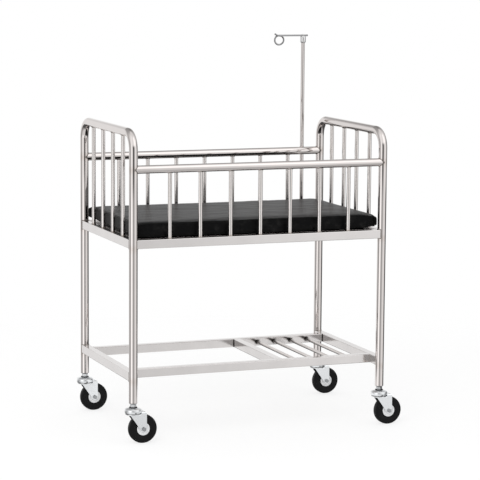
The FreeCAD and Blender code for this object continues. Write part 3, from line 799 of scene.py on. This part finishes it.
class COT_OT_pad_mattress(bpy.types.Operator):
    """Fills and sews the mattress: a boxed pad blown up as cloth, with piping round both faces"""
    bl_idname = "cot.pad_mattress"
    bl_label = "Pad Mattress"

    def execute(self, context):
        settings = context.scene.cot_mattress
        vinyl = self.vinyl(settings)
        pad = self.boxed_pad()
        self.blow_up(pad, settings)
        self.settle(pad, settings)
        pad.data.materials.append(vinyl)
        for face in pad.data.polygons:
            face.use_smooth = True
        smooth = pad.modifiers.new("smooth", "SUBSURF")
        smooth.levels = smooth.render_levels = 1
        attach(pad, "mattress")
        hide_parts("mattress")
        self.piping(pad, vinyl)
        return {"FINISHED"}

    def vinyl(self, settings):
        """Black coated cloth: a fine leather grain, soft creases and a little dust."""
        shader = Shader("cot_mattress_vinyl")
        shader.set(Specular_IOR_Level=0.08)
        tree, place = shader.tree, shader.place()
        wrinkled = node(tree, "Mapping", Vector=place, Scale=(7.0, 16.0, 10.0))
        creases = node(tree, "TexNoise", Vector=wrinkled.outputs[0], Scale=1.0, Detail=3.0, Roughness=0.5,
                       Distortion=1.2)
        crease = node(tree, "Bump", Strength=1.0, Distance=3.0 * MM, Height=creases.outputs[0])
        cells = node(tree, "TexVoronoi", {"feature": "SMOOTH_F1"}, Vector=place, Scale=850.0)
        grain = node(tree, "Bump", Strength=1.0, Distance=0.06 * MM, Height=cells.outputs["Distance"],
                     Normal=crease.outputs[0])
        dirt = shader.effect("dust", Vector=place, Amount=0.05, Color=(*settings.color, 1),
                             Roughness=settings.roughness)
        shader.feed("Base Color", dirt.outputs["Color"])
        shader.feed("Roughness", dirt.outputs["Roughness"])
        shader.feed("Normal", grain.outputs[0])
        return shader.material

    def boxed_pad(self):
        """The cut and sewn box, a little smaller than the filled pad."""
        low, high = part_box("mattress")
        inset = Vector((2.5, 2.5, 1.0)) * MM
        bm = bmesh.new()
        bmesh.ops.create_cube(bm, size=1)
        size = high - low - 2 * inset
        bmesh.ops.transform(bm, matrix=Matrix.LocRotScale((low + high) / 2, None, size), verts=bm.verts)
        upright = [e for e in bm.edges if abs(e.verts[0].co.z - e.verts[1].co.z) > size.z / 2]
        rounded(bm, upright, CORNER_R, 5)
        rims = [e for e in bm.edges if abs(e.verts[0].co.z - e.verts[1].co.z) < size.z / 2]
        rounded(bm, rims, 3 * MM, 2)
        bmesh.ops.recalc_face_normals(bm, faces=bm.faces)
        rough = placed("mattress_cut", mesh_from("mattress_pad", bm))
        remesh = rough.modifiers.new("remesh", "REMESH")
        remesh.mode = "VOXEL"
        remesh.voxel_size = 7.5 * MM
        even = bpy.data.meshes.new_from_object(evaluated(rough))
        even.name = "mattress_pad"
        bpy.data.objects.remove(rough)
        return placed("mattress_pad", even)

    def blow_up(self, pad, settings):
        """Press the cover outwards as cloth, but no point further than the swell."""
        start = [v.co.copy() for v in pad.data.vertices]
        cloth = pad.modifiers.new("cloth", "CLOTH")
        cloth.settings.quality = 5
        cloth.settings.mass = 0.3
        cloth.settings.tension_stiffness = 40
        cloth.settings.compression_stiffness = 40
        cloth.settings.bending_stiffness = 2
        cloth.settings.use_pressure = True
        cloth.settings.uniform_pressure_force = settings.pressure
        cloth.settings.effector_weights.gravity = 0
        scene = bpy.context.scene
        for step in range(1, 21):
            scene.frame_set(step)
        moved = [v.co.copy() for v in evaluated(pad).to_mesh().vertices]
        pad.modifiers.remove(cloth)
        scene.frame_set(1)
        for vert, a, b in zip(pad.data.vertices, start, moved):
            shift = b - a
            if shift.length > settings.swell:
                shift.length = settings.swell
            vert.co = a + shift

    def settle(self, pad, settings):
        """Lay the pad on the deck, curl its corners and draw the soft creases of a used pad."""
        low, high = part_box("mattress")
        centre, half = (low + high) / 2, (high - low) / 2
        tip_width, pull, wrinkle, border = 30 * MM, 2 * MM, 1.2 * MM, 12 * MM
        for vert in pad.data.vertices:
            co = vert.co
            height = min(max((co.z - low.z) / (high.z - low.z), 0), 1)
            for sx, sy, lift, reach, sag, width in CURLS:
                apart = math.hypot(co.x - centre.x - sx * half.x, co.y - centre.y - sy * half.y)
                near = math.exp(-(apart / width) ** 2 * 2.5)
                tip = math.exp(-(apart / tip_width) ** 2)
                co.z += settings.corner_lift * lift * near * (1 - height) - sag * MM * tip * height
                co.x += sx * settings.corner_reach * reach * tip
                co.y -= sy * pull * reach * tip
            drift = Vector((co.x * 9, co.y * 14, 3.0))
            crumple = 0.9 * MM * noise.noise(drift) + 0.4 * MM * noise.noise(drift * 3.1)
            co.z += height ** 3 * crumple
            inward = 1 - 2 * abs(height - 0.5)
            wave = noise.noise(Vector((co.x * 11, co.y * 11, co.z * 6)))
            if abs(co.y - centre.y) > half.y - border:
                co.y += wrinkle * wave * inward
            if abs(co.x - centre.x) > half.x - border:
                co.x += wrinkle * wave * inward
            co.z = max(co.z, low.z)
        pad.data.update()

    def piping(self, pad, vinyl):
        """Thin sewn piping along the top and the bottom edge, laid on the pad's own surface."""
        low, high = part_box("mattress")
        surface = BVHTree.FromObject(pad, bpy.context.evaluated_depsgraph_get())
        for edge, z, radius in (("top", high.z - 3.0 * MM, 1.7 * MM), ("bottom", low.z + 4.0 * MM, 1.5 * MM)):
            name = "mattress_piping_" + edge
            curve = bpy.data.curves.new(name, "CURVE")
            curve.dimensions = "3D"
            curve.bevel_depth = radius
            curve.bevel_resolution = 2
            path = self.seam(low, high, z)
            spline = curve.splines.new("POLY")
            spline.points.add(len(path) - 1)
            for point, co in zip(spline.points, path):
                at, normal = surface.find_nearest(co)[:2]
                point.co = (*(at + normal * 0.3 * MM), 1)
            spline.use_cyclic_u = True
            drawn = placed(name, curve)
            mesh = bpy.data.meshes.new_from_object(evaluated(drawn))
            bpy.data.objects.remove(drawn)
            bpy.data.curves.remove(curve)
            bm = bmesh.new()
            bm.from_mesh(mesh)
            finished(name, bm, vinyl, "mattress")

    def seam(self, low, high, z):
        """Points round the mattress at one height, with its rounded corners and even steps between."""
        step = 14 * MM
        bm = bmesh.new()
        bmesh.ops.create_grid(bm, x_segments=1, y_segments=1, size=0.5)
        centre, size = (low + high) / 2, high - low
        centre.z, size.z = z, 1
        bmesh.ops.transform(bm, matrix=Matrix.LocRotScale(centre, None, size), verts=bm.verts)
        rounded(bm, bm.verts, CORNER_R, 6, affect="VERTICES")
        for edge in [e for e in bm.edges if e.calc_length() > 0.1]:
            bmesh.ops.subdivide_edges(bm, edges=[edge], cuts=round(edge.calc_length() / step))
        path = [loop.vert.co.copy() for loop in bm.faces[:][0].loops]
        bm.free()
        return path


class COT_OT_finish_steel(bpy.types.Operator):
    """Gives the frame, the drip pole and the plated parts their steel finishes"""
    bl_idname = "cot.finish_steel"
    bl_label = "Finish Steel"

    def execute(self, context):
        steel, caster = context.scene.cot_steel, context.scene.cot_caster
        color, polish, satin = steel.color, steel.tube_roughness, steel.beam_roughness
        around_x, around_y, around_z = (1500.0, 70.0, 70.0), (70.0, 1500.0, 70.0), (70.0, 70.0, 1500.0)
        brushed = (90.0, 90.0, 1200.0)
        joints = [band_at(DECK_LOW, 0.02, 0.2), band_at(SHELF_LOW, 0.02, 0.2),
                  band_at(FOOT_HOOP[0].z, 1.2 * MM, 0.8, stain=SOOT_AND_SHADE)]
        joints += [tint_at((0, y, rail), 0.022, 0.25, stretch=(0, 0.1, 1)) for y, inward, rail in SIDES]
        bar_ends = [band_at(DECK_TOP, 0.01, 0.35)]
        rod_ends = [tint_at((0, y, 0), 0.06, 0.95, stretch=(0, 1, 0), stain=SOOT_AND_SHADE) for y in SHELF_INNER]
        burns = [tint_at((x, y, ROD_Z), 0.016, 0.9, stain=SOOT_AND_SHADE) for x in ROD_XS for y in SHELF_INNER]
        finishes = {
            "post": steel_finish("cot_post_steel", color, polish, around_z, tints=joints),
            "rail": steel_finish("cot_rail_steel", color, polish, around_x, depth=0.003),
            "bar": steel_finish("cot_bar_steel", steel.bar_color, steel.bar_roughness, around_z, depth=0.003,
                                tints=bar_ends),
            "beam": steel_finish("cot_beam_steel", steel.beam_color, satin, brushed),
            "side beam": steel_finish("cot_side_beam_steel", steel.beam_color, satin, brushed, tints=burns),
            "rod": steel_finish("cot_rod_steel", color, polish * 1.6, around_y, tints=rod_ends),
            "sheet": steel_finish("cot_sheet_steel", color, 0.38, (30.0, 1400.0, 300.0)),
            "pole": steel_finish("cot_pole_steel", color, polish, around_z),
            "chrome": plated_finish("cot_hook_chrome", (0.38, 0.38, 0.385), 0.10),
            "zinc": plated_finish("cot_zinc_plate", caster.zinc_color, 0.24),
            "fastener": plated_finish("cot_fastener_zinc", (0.62, 0.63, 0.64), 0.28),
            # the fastener zinc made darker on the axle bolts and sleeves: painted shade for the shadow round
            # the bolt heads on the hubs
            "bolt": plated_finish("cot_bolt_zinc_painted_shade", (0.40, 0.41, 0.42), 0.28),
        }
        nodes = {
            "post": ["foot_end_hoop", "head_end_hoop"],
            "rail": ["front_side_rail", "back_side_rail"],
            "bar": ["foot_end_bars", "head_end_bars", "front_rail_bars", "back_rail_bars"],
            "beam": ["deck_front_beam", "deck_back_beam", "deck_foot_beam", "deck_head_beam",
                     "shelf_foot_beam", "shelf_head_beam", "shelf_cross_beam"],
            "side beam": ["shelf_front_beam", "shelf_back_beam"],
            "rod": ["shelf_rods"],
            "sheet": ["deck_sheet", "deck_bearers"],
            "pole": ["drip_pole", "pole_foot_cup", "pole_guide"],
            "chrome": ["drip_hook"],
            "zinc": [corner + "_fork" for corner in CORNERS],
            "fastener": ["leg_plugs", "caster_stems", "stem_lock_nuts", "swivel_ball_rings"],
            "bolt": [corner + part for corner in CORNERS for part in ("_axle_bolt", "_axle_sleeve")],
        }
        for finish, names in nodes.items():
            for name in names:
                dress_node(name, finishes[finish])
        return {"FINISHED"}


class COT_OT_finish_seals(bpy.types.Operator):
    """Gives the dust seals their rubber finish"""
    bl_idname = "cot.finish_seals"
    bl_label = "Finish Seals"

    def execute(self, context):
        seal = moulded_finish("cot_seal_rubber", (0.015, 0.015, 0.016), roughness=0.55, grain=1400.0,
                              depth=0.04, dusty=0.06, specular=0.3)
        dress_node("dust_seals", seal)
        return {"FINISHED"}


class COT_OT_build_stage(bpy.types.Operator):
    """Builds the pale floor, the soft lights, the studio that the steel reflects and the camera"""
    bl_idname = "cot.build_stage"
    bl_label = "Build Stage"

    def execute(self, context):
        stage = context.scene.cot_stage
        self.add_camera(context.scene, stage)
        self.add_world(context.scene, stage)
        self.add_floor(stage)
        self.add_studio(stage)
        self.add_key(stage)
        context.scene.view_settings.view_transform = "Standard"
        return {"FINISHED"}

    def add_camera(self, scene, stage):
        """The camera that looks at the middle of the cot, turned about its line of sight by the roll."""
        back = Vector((math.sin(stage.azimuth) * math.cos(stage.elevation),
                       -math.cos(stage.azimuth) * math.cos(stage.elevation), math.sin(stage.elevation)))
        across = (-back).cross(Vector((0, 0, 1))).normalized()
        above = across.cross(-back)
        right = math.cos(stage.roll) * across + math.sin(stage.roll) * above
        up = math.cos(stage.roll) * above - math.sin(stage.roll) * across
        target = Vector((0.00678, -0.00175, 0.6434))
        camera = placed("camera", bpy.data.cameras.new("camera"))
        camera.data.lens = stage.lens
        camera.data.sensor_width = 36.0
        camera.data.clip_end = 100.0
        camera.matrix_world = (Matrix.Translation(target + back * stage.distance)
                               @ Matrix((right, up, back)).transposed().to_4x4())
        scene.camera = camera

    def add_world(self, scene, stage):
        """White for what the camera, mirrors and glass see, and an even light for the rest."""
        world = bpy.data.worlds.new("studio_light")
        scene.world = world
        world.use_nodes = True
        world.cycles.sampling_method = "NONE"
        tree = world.node_tree
        tree.nodes.clear()
        path = tree.nodes.new("ShaderNodeLightPath")
        strength = mix(tree, seen_directly(tree, path), stage.ambient, 1.0)
        light = node(tree, "Background", Color=(1, 1, 1, 1), Strength=strength)
        output = tree.nodes.new("ShaderNodeOutputWorld")
        tree.links.new(light.outputs[0], output.inputs["Surface"])

    def add_floor(self, stage):
        """A pale sheet that fades into the white background; mirrors see less of it."""
        shader = Shader("studio_floor")
        shader.set(Base_Color=tuple(stage.floor_color), Roughness=0.9, Specular_IOR_Level=0.1)
        tree = shader.tree
        reach = vector(tree, "LENGTH", shader.place()).outputs["Value"]
        wide, close = mapped(tree, reach, 1.3, 2.9), mapped(tree, reach, 0.25, 0.6)
        path = tree.nodes.new("ShaderNodeLightPath")
        fade = mix(tree, path.outputs["Is Glossy Ray"], wide, close)
        share = calc(tree, "MULTIPLY", seen_directly(tree, path), 0.7)
        white = node(tree, "Emission", Color=(1, 1, 1, 1), Strength=1.08).outputs[0]
        sheet = node(tree, "MixShader", i0=share, i1=shader.surface.outputs[0], i2=white).outputs[0]
        clear = tree.nodes.new("ShaderNodeBsdfTransparent").outputs[0]
        blend = node(tree, "MixShader", i0=fade, i1=sheet, i2=clear)
        shader.join(blend.outputs[0], shader.output.inputs["Surface"])
        bm = bmesh.new()
        bmesh.ops.create_circle(bm, cap_ends=True, segments=96, radius=3.0)
        self.add_stage_piece("studio_floor", bm, shader.material)

    def add_studio(self, stage):
        """The room round the cot, seen only in reflections: rings of wall from the floor up to the
        ceiling, pale, with a bright softbox on the left and a dark side on the right."""
        material = bpy.data.materials.new("studio_room")
        material.use_nodes = True
        material.cycles.emission_sampling = "NONE"
        tree = material.node_tree
        tree.nodes.clear()
        place = vector(tree, "NORMALIZE", tree.nodes.new("ShaderNodeTexCoord").outputs["Object"]).outputs[0]
        turn = node(tree, "VectorRotate", {"rotation_type": "Z_AXIS"}, Vector=place, Angle=-stage.azimuth)
        axes = node(tree, "SeparateXYZ", i0=turn.outputs[0]).outputs
        bearing = calc(tree, "ARCTAN2", axes[0], calc(tree, "MULTIPLY", axes[1], -1.0))
        share = mapped(tree, bearing, -math.pi, math.pi, kind="LINEAR")
        level, *upper_rings = [self.ring(tree, share, stops) for stops in ROOM_RINGS]
        for upper, (low, high) in zip(upper_rings, ROOM_STEPS):
            level = mix(tree, mapped(tree, axes[2], low, high), level, upper)
        glow = node(tree, "Emission", Color=(1, 1, 1, 1), Strength=level)
        output = tree.nodes.new("ShaderNodeOutputMaterial")
        tree.links.new(glow.outputs[0], output.inputs["Surface"])
        bm = bmesh.new()
        bmesh.ops.create_icosphere(bm, subdivisions=5, radius=7.0)
        room = self.add_stage_piece("studio_room", bm, material)
        for ray in ("camera", "diffuse", "transmission", "volume_scatter", "shadow"):
            setattr(room, "visible_" + ray, False)

    def ring(self, tree, share, stops):
        """The brightness of one height of the room by its bearing."""
        walls = node(tree, "ValToRGB", i0=share)
        ramp = walls.color_ramp
        while len(ramp.elements) < len(stops):
            ramp.elements.new(0.5)
        for element, (angle, value) in zip(ramp.elements, stops):
            element.position = (angle + 180) / 360
            element.color = (value, value, value, 1)
        return walls.outputs[0]

    def add_key(self, stage):
        """The large soft light, above the cot on the left of the camera."""
        light = bpy.data.lights.new("key_light", "AREA")
        light.shape = "RECTANGLE"
        light.size = 2.4
        light.size_y = 2.0
        light.energy = stage.key_power
        lamp = placed("key_light", light)
        lamp.matrix_world = stood((-2.2, -2.6, 3.4), (-2.2, -2.6, 2.9))
        lamp.visible_glossy = False

    def add_stage_piece(self, name, bm, material):
        """A piece of the studio, which is no part of the cot."""
        piece = placed(name, mesh_from(name, bm))
        piece.data.materials.append(material)
        return piece


class COT_PT_panel(bpy.types.Panel):
    """Lists the steps that dress the cot"""
    bl_idname = "COT_PT_panel"
    bl_label = "Hospital Cot"
    bl_space_type = "VIEW_3D"
    bl_region_type = "UI"
    bl_category = "Cot"

    def draw(self, context):
        """Show every setting, and a button for each step."""
        for settings in SETTINGS:
            group = getattr(context.scene, settings)
            box = self.layout.box()
            for name in group.bl_rna.properties.keys():
                if name not in ("rna_type", "name"):
                    box.prop(group, name)
        for step in STEPS:
            self.layout.operator(step.bl_idname)


SETTINGS = {"cot_steel": CotSteelSettings, "cot_mattress": CotMattressSettings,
            "cot_caster": CotCasterSettings, "cot_stage": CotStageSettings}
STEPS = (COT_OT_build_stage, COT_OT_finish_steel, COT_OT_finish_seals, COT_OT_weld_bars, COT_OT_weld_rails,
         COT_OT_weld_beams, COT_OT_mould_wheels, COT_OT_turn_cups, COT_OT_pad_mattress)
CLASSES = (*SETTINGS.values(), *STEPS, COT_PT_panel)


def register():
    """Add the settings, the steps and the panel to Blender."""
    for cls in CLASSES:
        bpy.utils.register_class(cls)
    for name, cls in SETTINGS.items():
        setattr(bpy.types.Scene, name, PointerProperty(type=cls))


def unregister():
    """Take them out again."""
    for name in SETTINGS:
        delattr(bpy.types.Scene, name)
    for cls in reversed(CLASSES):
        bpy.utils.unregister_class(cls)


def main():
    """Run every step in turn."""
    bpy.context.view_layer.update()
    register()
    for step in STEPS:
        group, name = step.bl_idname.split(".")
        getattr(getattr(bpy.ops, group), name)()


if __name__ == "__main__":
    main()
